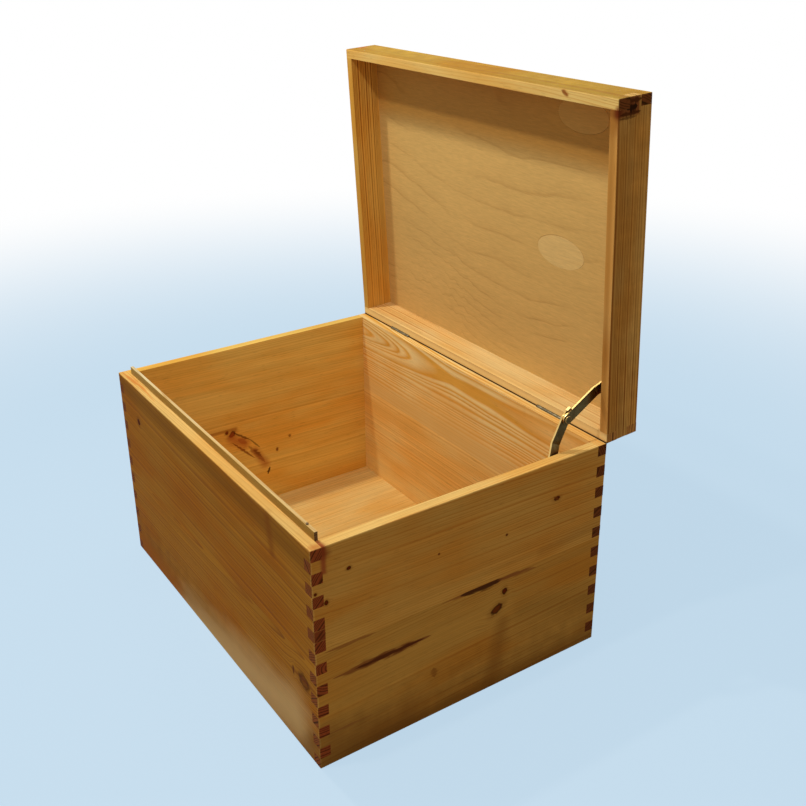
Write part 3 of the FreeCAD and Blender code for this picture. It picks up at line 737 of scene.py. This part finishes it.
stave("left", "lower", pith=(200, -240), lean=(1, 1.5), ring=2.0, early=left_early, late=left_late,
      end=side_end, knots=[(40.5, 112, 1.9, 1.0, 0, 1.0), (34, 108.7, 3.0, 1.4, -30, 0.9),
                           (-20, 73.7, 1.8, 0.7, 0, 0.8), (-37, 86.2, 1.5, 1.0, 0, 0.6)],
      marks=[(stain_and_painted_light, (36, 10, 104), (20, 10, 92), 10, colour(170, 72, 30), 0.6),
             (stain_and_painted_light, (8, 10, 80), (-4, 10, 60), 8, colour(170, 76, 28), 0.6),
             (stain_and_painted_light, (30, 10, 114), (60, 10, 115), 4, colour(150, 84, 30), 0.6),
             (pitch_pocket, (33, 10, 110), (12, 10, 95), 1.6, bark_brown, 0.7),
             (pitch_pocket, (14, 10, 97), (1, 10, 82), 1.2, bark_brown, 0.6),
             (pitch_pocket, (16, 10, 89), (-4, 10, 61.5), 4.4, heart_brown, 0.5),
             (pitch_pocket, (10, 10, 82), (0, 10, 70), 2.6, bark_brown, 0.4),
             (pitch_pocket, (36, 10, 99), (8, 10, 70), 1.8, heart_brown, 0.8),
             (pitch_pocket, (28, 10, 101), (17, 10, 92), 4.0, colour(160, 62, 28), 0.45),
             (pitch_pocket, (-9.5, 10, 54), (-6, 10, 45), 2.4, bark_brown, 0.9)])
stave("left", "upper", pith=(200, 400), lean=(0.6, 1.0), ring=1.9, early=left_early, late=left_late,
      end=side_end)
stave("right", "lower", pith=(-170, -180), lean=(1.2, 1.4), ring=2.3, contrast=0.55, end=side_end,
      knots=[(38.7, 98.7, 3.0, 0.8, 0, 1.0), (30.5, 83, 3.6, 1.7, 30, 0.9)],
      marks=[(stain_and_painted_light, (38, 0, 66), (26, 0, 4), 13, colour(134, 80, 26), 0.5),
             # The dark band along the foot of the right face is painted shade
             (stain_and_painted_light, (-150, 0, 6), (150, 0, 0), 12, colour(90, 50, 12), 0.35),
             (stain_and_painted_light, (60, 0, 68), (150, 0, 50), 22, colour(120, 76, 22), 0.3),
             (stain_and_painted_light, (-160, 0, 26), (-70, 0, 8), 34, colour(130, 80, 30), 0.5),
             (pitch_pocket, (-136, 0, 85.4), (-38, 0, 86), 5.4, colour(120, 56, 24), 0.75),
             (pitch_pocket, (-116, 0, 85.5), (-46, 0, 86), 3.2, colour(84, 36, 14), 0.9),
             (pitch_pocket, (-30, 0, 113.2), (72, 0, 112), 3.0, colour(150, 88, 36), 0.8),
             (pitch_pocket, (-10, 0, 113), (37, 0, 112.6), 6.0, colour(72, 34, 14), 0.92),
             (pitch_pocket, (30, 0, 113), (74, 0, 110), 3.0, colour(140, 80, 34), 0.7),
             (pitch_pocket, (-142, 0, 113.5), (-94, 0, 113), 2.6, colour(140, 80, 34), 0.7),
             (pitch_pocket, (-142, 0, 32), (-98, 0, 31.5), 1.6, colour(140, 84, 38), 0.6),
             (pitch_pocket, (-37, 0, 51), (-36, 0, 40), 5, pitch_brown, 0.5)])
stave("right", "upper", pith=(-180, 360), lean=(1, -0.5), ring=2.0, contrast=0.55, end=side_end,
      coat=colour(213, 182, 140),
      knots=[(94, 173, 1.7, 1.9, 0, 1.0), (-117, 183, 1.5, 1.2, 0, 1.0), (-138, 159.5, 2, 0.8, 0, 1.0),
             (-147, 170.5, 1.2, 1, 0, 1.0), (39, 156, 1, 1, 0, 1.0), (-32, 163.5, 0.8, 1, 0, 0.8)],
      marks=[(dark_block, (-150, 0, 126), (-139.7, 0, 136.5), 0.4, colour(122, 48, 24), 0.92),
             (pitch_pocket, (90, 0, 176), (97, 0, 170), 1.2, pitch_brown, 0.8),
             (stain_and_painted_light, (80, 0, 124), (150, 0, 128), 9, colour(120, 70, 22), 0.2),
             (pitch_pocket, (-149.5, 0, 127.5), (-141, 0, 136), 1.4, bark_brown, 0.7),
             (pitch_pocket, (-148, 0, 125), (-139, 0, 133), 1.2, bark_brown, 0.6),
             (dark_block, (-143, 0, 184), (-135, 0, 214), 3.6, colour(156, 72, 36), 0.85),
             (stain_and_painted_light, (-141, 0, 210), (-138, 0, 204), 8, colour(128, 48, 20), 0.75)])


# ---- Bottom -------------------------------------------------------------------------------------
# A 5 mm pine panel that slides in the grooves of the four boards, its grain running from front to
# back.

def eased_copy(name, node, finish, body, width, segments=2):
    """A node's own shape with its sharp edges eased, standing for it."""
    form = bmesh.new()
    form.from_mesh(frame["nodes"][node].data)
    bmesh.ops.remove_doubles(form, verts=form.verts, dist=0.001 * mm)
    flat_within = math.radians(0.5)
    bmesh.ops.dissolve_limit(form, angle_limit=flat_within, verts=form.verts, edges=form.edges)
    mesh = bpy.data.meshes.new(name)
    form.to_mesh(mesh)
    form.free()
    mesh.materials.append(finish)
    piece = settled(eased(new_object(name, mesh), width, segments))
    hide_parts(node)
    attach(piece, body)


bottom_place = Matrix.Translation((0, chest_middle, 0)) @ Matrix.Rotation(math.pi / 2, 4, "Z")
eased_copy("bottom_board", "bottom_panel", pine(
    "bottom pine", bottom_place, 1.0, 1.0, pith=(400, 30), lean=(0.6, 0.4), ring=3.5, contrast=0.5,
    early=colour(222, 186, 112), late=colour(190, 142, 70)),
    "chest", 0.5 * mm)


# ---- Dust lip -----------------------------------------------------------------------------------
# A thin strip of pine pinned inside the front board. It stands over the rim and the shut lid closes
# round it; the pin in its top edge has worked up a little.

eased_copy("dust_lip_strip", "dust_lip", pine(
    "lip pine", board_place(0, half_depth - board_thickness), 1.0, 1.0, pith=(25, 390), ring=1.5,
    contrast=0.6, early=colour(213, 194, 148), late=colour(182, 149, 98), coat=colour(220, 206, 158),
    end=colour(104, 76, 48)),
    "chest", 0.3 * mm)


def placed_fastener(tree, given, form):
    """Ends a tree with a fastener at each point, its head's face there and its shank along the drive."""
    drive = add(tree, "GeometryNodeInputNamedAttribute", {"Name": "drive"}, data_type="FLOAT_VECTOR")
    aim = add(tree, "FunctionNodeAlignRotationToVector", {
        "Vector": scaled(drive.outputs["Attribute"], -1.0)}, axis="Z").outputs[0]
    angle = add(tree, "FunctionNodeRandomValue", {3: math.pi, "Seed": given["Seed"]}, data_type="FLOAT")
    twist = add(tree, "FunctionNodeAxisAngleToRotation", {"Angle": angle.outputs[1]}).outputs[0]
    turned = add(tree, "FunctionNodeRotateRotation", {0: aim, 1: twist}, rotation_space="LOCAL").outputs[0]
    points = add(tree, "GeometryNodeMeshToPoints", {"Mesh": given["Places"]}).outputs[0]
    set_out = add(tree, "GeometryNodeInstanceOnPoints", {
        "Points": points, "Instance": form, "Rotation": turned}).outputs[0]
    return ended(tree, Fasteners=in_finish(set_out, given["Finish"]))


def upright_rod(tree, bottom_radius, top_radius, low, high, facets=24):
    """A closed round bar or cone about Z between two heights."""
    bar = add(tree, "GeometryNodeMeshCone", {
        "Vertices": facets, "Radius Bottom": bottom_radius, "Radius Top": top_radius,
        "Depth": minus(high, low)}).outputs["Mesh"]
    lift = add(tree, "ShaderNodeCombineXYZ", {"Z": low}).outputs[0]
    return add(tree, "GeometryNodeTransform", {"Geometry": bar, "Translation": lift}).outputs[0]


def joined_solid(tree, *forms):
    union = add(tree, "GeometryNodeMeshBoolean", {"Self Intersection": True}, operation="UNION",
                solver="EXACT")
    for form in forms:
        tree.links.new(form, union.inputs["Mesh 2"])
    return union.outputs["Mesh"]


def panel_pin_tree():
    tree, given = group_tree("Geometry", "panel pins", {
        "Places": "Geometry", "Head radius": 1.2 * mm, "Head height": 0.4 * mm,
        "Shank radius": 0.6 * mm, "Length": 8 * mm, "Seed": 3, "Finish": "Material"})
    height, radius = given["Head height"], given["Shank radius"]
    head = upright_rod(tree, given["Head radius"], times(given["Head radius"], 0.86), 0.0, height)
    shank = upright_rod(tree, radius, radius, minus(height, given["Length"]), times(height, 0.5))
    return placed_fastener(tree, given, joined_solid(tree, head, shank))


def fasteners(name, tree, places, drives, finish, node, slot, body, ease, **sizes):
    """Fasteners of one kind in one mesh, standing for their node."""
    start = bpy.data.meshes.new(name)
    start.from_pydata(places, [], [])
    drive = start.attributes.new("drive", "FLOAT_VECTOR", "POINT")
    for item, direction in zip(drive.data, drives):
        item.vector = direction
    piece = settled(eased(grown(tree, name, {"Finish": finish, **sizes}, start), ease))
    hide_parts(node)
    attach(piece, body)


def metal_wear_tree():
    """Where bare metal is dull or tarnished, its fine scratches, and its faces that look along X."""
    tree, given = group_tree("Shader", "metal wear", {"Vector": "Vector", "Normal": "Vector"})
    dull = smooth_step(noise(given["Vector"], 110, 110, 6.0, 0.7), 0.2, 0.8)
    broad = smooth_step(calc("ABSOLUTE", split(given["Normal"])["X"]), 0.80, 0.98)
    return ended(tree, Dull=dull, Scratch=noise(given["Vector"], 2500, 150, 2.0), Broad=broad)


metal_wear = metal_wear_tree()


def metal(name, bright, dull, smooth, rough, broad_face_shade=None):
    """Bare metal, dull in places, with painted shade of the given colour on the faces that look along X.
    """
    material, tree = new_material(name)
    texture = add(tree, "ShaderNodeTexCoord").outputs
    wear = group_node(tree, metal_wear, {"Vector": texture["Object"], "Normal": texture["Normal"]})
    shade = mix_colour(wear["Dull"], bright, dull)
    if broad_face_shade:
        # Painted shade on the faces that look along X
        shade = mix_colour(times(wear["Broad"], plus(0.9, times(wear["Dull"], 0.1))), shade, broad_face_shade)
    dress(tree, {"Base Color": shade, "Metallic": 1.0, "Roughness": ranged(wear["Dull"], smooth, rough)},
          wear["Scratch"], 0.4, 0.01 * mm)
    return material


pin_steel = metal("pin steel", colour(122, 100, 74), colour(86, 66, 44), 0.42, 0.6)
lip_low, lip_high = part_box("dust_lip")
lip_pins, lip_pin_inset, lip_pin_drop = 5, 18 * mm, 11 * mm
top_pin_inset, top_pin_rise = 13 * mm, 0.7 * mm
first_pin, last_pin = lip_low.x + lip_pin_inset, lip_high.x - lip_pin_inset
pin_places = [(first_pin + (last_pin - first_pin) * i / (lip_pins - 1), lip_high.y,
               chest_height - lip_pin_drop) for i in range(lip_pins)]
pin_drives = [(0, -1, 0)] * lip_pins
pin_places.append((lip_high.x - top_pin_inset, (lip_low.y + lip_high.y) / 2, lip_high.z + top_pin_rise))
pin_drives.append((0, 0, -1))
fasteners("dust_lip_panel_pins", panel_pin_tree(), pin_places, pin_drives, pin_steel,
          "dust_lip_pins", "pin_steel", "chest", 0.12 * mm)


# ---- Lid frame ----------------------------------------------------------------------------------
# Four 9 mm rails with three fingers at each corner, rebated along their upper inner edges for the
# panel. The frame is made shut and swung open about the hinge line.

hinge_joint = next(joint for joint in frame["joints"] if joint["name"] == "lid_hinge")
hinge_line = Vector(hinge_joint["pos_m"])
lid_open = math.radians(hinge_joint["range_deg"][1])
lid_base = 2 * hinge_line.z - chest_height
rail_thickness = 9 * mm
lid_depth = 36 * mm
lid_fingers = 3
rebate_low, rebate_high, rebate_depth = 31 * mm, 41 * mm, 5 * mm
lid_swing = (Matrix.Translation(hinge_line) @ Matrix.Rotation(-lid_open, 4, "X") @
             Matrix.Translation(-hinge_line))


def lid_rail(side, hinged=False, **look):
    """The rail at one side of the lid."""
    turn, outer, length, first_notch = sides[side]
    place, node = board_place(turn, outer, lid_base, lid_swing), f"lid_{side}_rail"
    sawn_board(f"{node}_board", node, "lid", place, {
        "Length": length, "Thickness": rail_thickness, "Bottom": 0.0, "Top": lid_depth,
        "Frame height": lid_depth, "Fingers": lid_fingers, "First notch": first_notch,
        "Groove depth": rebate_depth, "Groove low": rebate_low, "Groove high": rebate_high,
        "Hinged": hinged, "Hinge line": hinge_line.z - lid_base,
        "Finish": pine(f"{side} rail pine", place, length / 2, lid_depth, **look)})


rail_end = colour(176, 116, 56)
lid_rail("front", pith=(300, -120), lean=(0.6, 0.3), wander=9, contrast=0.6, coat=colour(202, 190, 130),
         end=colour(104, 50, 22),
         marks=[(stain_and_painted_light, (199.5, 8.5, 0), (200, 8.5, 0), 4.5, colour(124, 60, 30), 0.9),
                (stain_and_painted_light, (138, 2, 0), (142, 4, 0), 3, colour(160, 96, 40), 0.8),
                (pitch_pocket, (135, 1, 0), (143, 5, 0), 2.0, heart_brown, 0.6)])
lid_rail("back", hinged=True, pith=(-20, 400), lean=(0.3, 0.3), ring=2.2, contrast=0.9,
         early=colour(224, 190, 124), late=colour(194, 132, 66), end=rail_end, seam=0.0,
         # The pale band along the rail's rim is painted light
         marks=[(stain_and_painted_light, (-220, 5, -1), (220, 5, -1), 7, colour(255, 220, 144), 0.85)])
lid_rail("left", pith=(5, 290), lean=(0.2, 0.2), ring=2.4, wander=2, contrast=1.0,
         early=colour(226, 178, 86), late=colour(150, 82, 24), end=rail_end)
lid_rail("right", pith=(5, 290), lean=(0.2, 0.2), ring=2.3, wander=2, contrast=1.0,
         early=colour(220, 171, 100), late=colour(152, 90, 32), coat=colour(255, 242, 212),
         end=colour(196, 154, 84), knots=[(-141.6, 14.4, 3.0, 0.9, 0, 1.0)],
         marks=[(dark_block, (-153, 0, -3), (-133.5, 0, 24), 3.5, colour(122, 60, 28), 0.85),
                (stain_and_painted_light, (-150, 6, -1), (150, 6, -1), 6, colour(170, 115, 48), 0.7),
                (stain_and_painted_light, (-142, 0.5, 0), (-138.5, 0.5, 0), 8, colour(104, 44, 18), 1.0),
                (pitch_pocket, (-147, 0, 25), (-146, 0, 2), 3.4, bark_brown, 0.8),
                (pitch_pocket, (-137.4, 0, 24), (-136.8, 0, 1), 2.6, bark_brown, 0.75),
                (pitch_pocket, (-134.2, 0, 20), (-133.8, 0, 0), 1.6, bark_brown, 0.6),
                (pitch_pocket, (-142, 0, 20), (-141, 0, 8), 5.0, pitch_black, 0.95)])


# ---- Lid panel ----------------------------------------------------------------------------------
# Birch plywood, 5 mm thick, glued into the rebate. Its rotary-cut face shows wavy contours, and two
# oval patches of plain veneer fill flaws in the inner face.

veneer_reach, line_slope = 340 * mm, 0.03
ripple_place = (-100 * mm, 110 * mm, lid_base + rebate_low)
painted_shade_tint = colour(236, 215, 182)      # painted shade on the inner face near the free rail, where that rail's shadow falls
painted_shade_from, painted_shade_to = chest_middle - 72 * mm, chest_middle - 92 * mm


def contours_tree():
    """The thin wavy contour lines of rotary-cut veneer, its fibres and its cloudy tone."""
    tree, given = group_tree("Shader", "veneer contours", {
        "Vector": "Vector", "Line gap": 12 * mm, "Sway": 6.0})
    veneer = given["Vector"]

    # Lines across the board, rising to the right and closer together towards the hinges
    part = split(veneer)
    up = minus(part["Y"], times(part["X"], line_slope))
    up = calc("DIVIDE", plus(up, veneer_reach / 2), veneer_reach, clamp=True)
    crowding = plus(0.5, times(up, up, 0.5))
    height = times(up, crowding, calc("DIVIDE", veneer_reach, given["Line gap"]))
    near = smooth_step(vector_calc("DISTANCE", veneer, ripple_place), 0.12, 0.03)
    for wave, share in ((noise(veneer, 3.5, 7, 1.0, 0.3), given["Sway"]),
                        (times(noise(veneer, 90, 30, 1.0), near), 1.5),
                        (noise(veneer, 22, 40, 1.0), 0.5)):
        height = plus(height, times(wave, share))

    # Each line is a soft shade that sharpens to a thin edge and fades out here and there
    share = calc("FRACT", height)
    shade = times(smooth_step(share, 0.45, 0.95), 0.35)
    thin = times(smooth_step(share, 0.84, 0.93), 0.65)
    line = times(plus(shade, thin), smooth_step(share, 1.0, 0.95),
                 smooth_step(noise(veneer, 9, 14, 1.0), 0.42, 0.66))
    return ended(tree, Line=line, Fibre=noise(veneer, 90, 900, 3.0, 0.6),
                 Cloud=noise(veneer, 6, 16, 2.0))


veneer_contours = contours_tree()


def birch(name, face, line, gap, sway, strength):
    material, tree = new_material(name)
    flat = in_frame(add(tree, "ShaderNodeTexCoord").outputs["Object"], lid_swing.to_translation(),
                    lid_swing.to_euler())
    found = group_node(tree, veneer_contours, {"Vector": flat, "Line gap": gap, "Sway": sway})
    shade = mix_colour(times(found["Line"], strength), face, line)
    for mask, spread in (("Fibre", 0.22), ("Cloud", 0.12)):
        shade = shaded(shade, found[mask], 1 - spread, 1 + spread)
    # The inner face darkens towards the free rail: painted shade, where that rail's shadow falls on it
    part = split(flat)
    inner_face = calc("LESS_THAN", part["Z"], lid_base + rebate_low + 1 * mm)
    painted_shade = times(inner_face, smooth_step(part["Y"], painted_shade_from, painted_shade_to))
    shade = mix_colour(painted_shade, shade, mix_colour(1.0, shade, painted_shade_tint, "MULTIPLY"))
    dress(tree, {"Base Color": shade, "Roughness": 0.55, "Specular IOR Level": 0.06},
          found["Fibre"], 0.6, 0.03 * mm)
    return material


eased_copy("lid_plywood", "lid_panel", birch(
    "birch face", colour(212, 170, 98), colour(160, 112, 52), 19 * mm, 6.0, 0.28),
    "lid", 0.4 * mm)
eased_copy("lid_veneer_patches", "lid_panel_patches", birch(
    "patch veneer", colour(222, 184, 114), colour(190, 142, 76), 9 * mm, 2.0, 0.3),
    "lid", 0.02 * mm, 1)


# ---- Butt hinges --------------------------------------------------------------------------------
# Two steel butt hinges, their leaves let in flush with the outer back faces and screwed. Only the
# knuckles stand out behind, round a pin with a small head at each end.

hinge_steel = metal("hinge steel", colour(150, 138, 108), colour(82, 72, 52), 0.40, 0.62)
hinge_ease = 0.15 * mm
for side in ("left", "right"):
    for body in ("chest", "lid"):
        eased_copy(f"{side}_hinge_{body}_side", f"hinge_{side}_{body}_leaf", hinge_steel,
                   body, hinge_ease)
    eased_copy(f"{side}_hinge_pin", f"hinge_{side}_pin", pin_steel, "chest", 0.1 * mm)


def wood_screw_tree():
    """Countersunk screws with slotted heads, each slot left at its own angle."""
    tree, given = group_tree("Geometry", "wood screws", {
        "Places": "Geometry", "Head radius": 1.8 * mm, "Shank radius": 1.0 * mm,
        "Tip radius": 0.3 * mm, "Length": 8 * mm, "Tip length": 2.5 * mm, "Slot width": 0.45 * mm,
        "Slot depth": 0.4 * mm, "Seed": 0, "Finish": "Material"})
    wide, slim, facets = given["Head radius"], given["Shank radius"], 32
    neck = minus(slim, wide)
    end = times(given["Length"], -1.0)
    taper = plus(end, given["Tip length"])
    head = upright_rod(tree, slim, wide, neck, 0.0, facets)
    shank = upright_rod(tree, slim, slim, taper, times(neck, 0.9), facets)
    tip = upright_rod(tree, given["Tip radius"], slim, end, plus(taper, 0.01 * mm), facets)
    slot_size = point(times(wide, 3.0), given["Slot width"], times(given["Slot depth"], 2.0))
    slot = add(tree, "GeometryNodeMeshCube", {"Size": slot_size}).outputs["Mesh"]
    slotted = add(tree, "GeometryNodeMeshBoolean", {
        "Mesh 1": joined_solid(tree, head, shank, tip), "Mesh 2": slot},
        operation="DIFFERENCE", solver="EXACT").outputs["Mesh"]
    return placed_fastener(tree, given, slotted)


wood_screws = wood_screw_tree()
screw_sink, screw_ease = 0.05 * mm, 0.06 * mm
screw_spread, screw_setback, hinge_inset = 12 * mm, 4.8 * mm, 0.6 * mm
hinge_spread = 125 * mm
screw_xs = [side * hinge_spread + along * screw_spread for side in (-1, 1) for along in (-1, 0, 1)]
screw_y = hinge_line.y + hinge_inset - screw_sink
chest_screws = [(x, screw_y, hinge_line.z - screw_setback) for x in screw_xs]
lid_screws = [lid_swing @ Vector((x, screw_y, hinge_line.z + screw_setback)) for x in screw_xs]
lid_drive = lid_swing.to_3x3() @ Vector((0, -1, 0))
fasteners("hinge_screws_in_chest", wood_screws, chest_screws, [(0, -1, 0)] * len(screw_xs), hinge_steel,
          "hinge_chest_screws", "hinge_steel", "chest", screw_ease, Seed=1)
fasteners("hinge_screws_in_lid", wood_screws, lid_screws, [lid_drive] * len(screw_xs), hinge_steel,
          "hinge_lid_screws", "hinge_steel", "lid", screw_ease, Seed=2)


# ---- Stay ---------------------------------------------------------------------------------------
# A folding brass stay at the right-hand end. A plate on the chest and one on the lid carry its two
# arms, which meet at a riveted elbow; a hooked ear on the lower arm stops the upper one.

# The arms' broad faces get painted shade, dark olive brown, and their edges stay bright
brass = metal("stay brass", colour(244, 212, 140), colour(206, 162, 84), 0.22, 0.38,
              broad_face_shade=colour(62, 44, 18))
bright_brass = metal("rubbed brass", colour(226, 190, 108), colour(150, 112, 48), 0.22, 0.42)
stay_pieces = (
    ("stay_upper_bar", "stay_upper_arm", "stay_upper_arm", brass, 0.25),
    ("stay_lower_bar", "stay_lower_arm", "stay_lower_arm", brass, 0.25),
    ("stay_elbow_pin", "stay_elbow_rivet", "stay_upper_arm", brass, 0.12),
    ("stay_foot_pin", "stay_foot_stud", "chest", bright_brass, 0.12),
    ("stay_head_pin", "stay_head_rivet", "lid", bright_brass, 0.12),
    ("stay_chest_bracket", "stay_chest_plate", "chest", bright_brass, 0.2),
    ("stay_lid_bracket", "stay_lid_plate", "lid", bright_brass, 0.2))
for name, node, body, finish, ease in stay_pieces:
    eased_copy(name, node, finish, body, ease * mm)

plate_spread = 11.5 * mm
for body, upright, seed in (("chest", Vector((0, 0, 1)), 5), ("lid", lid_drive, 6)):
    # Two screws through each plate, at its ends and driven outwards into the wood
    low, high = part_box(f"stay_{body}_plate")
    middle, run = (low + high) / 2, upright.normalized() * plate_spread
    places = [(low.x + screw_sink, *(middle + run * sign).yz) for sign in (-1, 1)]
    fasteners(f"stay_{body}_bracket_screws", wood_screws, places, [(1, 0, 0)] * 2, bright_brass,
              f"stay_{body}_plate_screws", "brass_screws", body, screw_ease, Seed=seed)
